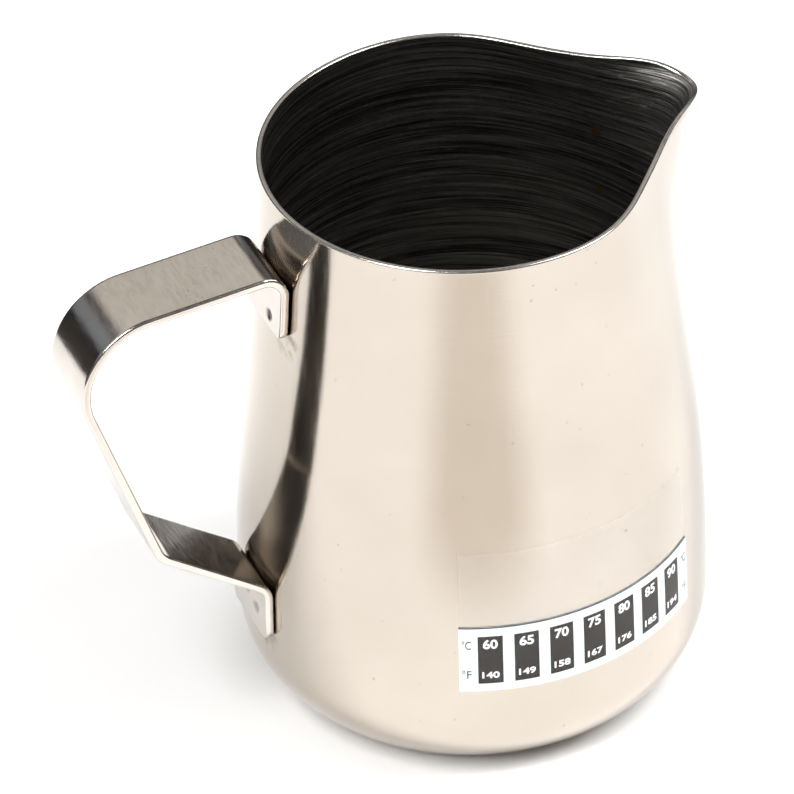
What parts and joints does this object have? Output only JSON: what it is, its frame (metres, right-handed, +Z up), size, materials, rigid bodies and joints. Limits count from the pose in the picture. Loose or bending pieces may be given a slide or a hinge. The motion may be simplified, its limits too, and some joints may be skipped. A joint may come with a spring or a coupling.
{
  "type": "milk frothing pitcher",
  "caption": "Stainless milk frothing pitcher with a belly, a pressed pouring spout, a bent strap handle and a liquid-crystal thermometer strip on its side.",
  "frame": {"origin": "centre of the flat base, on the plane that the pitcher rests on", "axes": "+X to the spout, handle at -X, +Z up along the shell's axis"},
  "size_m": [0.1203, 0.0859, 0.112],
  "materials": {
    "shell_steel": "polished outside, brushed round the inside",
    "handle_steel": "tumbled satin",
    "weld_steel": "cast nugget, dull",
    "clear_adhesive": "clear pressure-sensitive acrylic",
    "black_ink": "printed ink",
    "liquid_crystal": "dark brown-black when cold",
    "white_print": "printed ink, cool white",
    "line_ink": "printed ink",
    "white_ink": "printed ink",
    "clear_film": "thin clear polyester"
  },
  "bodies": {
    "root": {"pitcher_body": "shell_steel", "handle_strap": "handle_steel", "upper_spot_weld": "weld_steel", "lower_spot_welds": "weld_steel", "strip_adhesive": "clear_adhesive", "strip_black_backing": "black_ink", "crystal_cell_60": "liquid_crystal", "crystal_cell_65": "liquid_crystal", "crystal_cell_70": "liquid_crystal", "crystal_cell_75": "liquid_crystal", "crystal_cell_80": "liquid_crystal", "crystal_cell_85": "liquid_crystal", "crystal_cell_90": "liquid_crystal", "strip_white_print": "white_print", "strip_top_line": "line_ink", "celsius_numerals": "white_ink", "fahrenheit_numerals": "white_ink", "unit_marks": "line_ink", "strip_clear_film": "clear_film"}
  },
  "joints": []
}
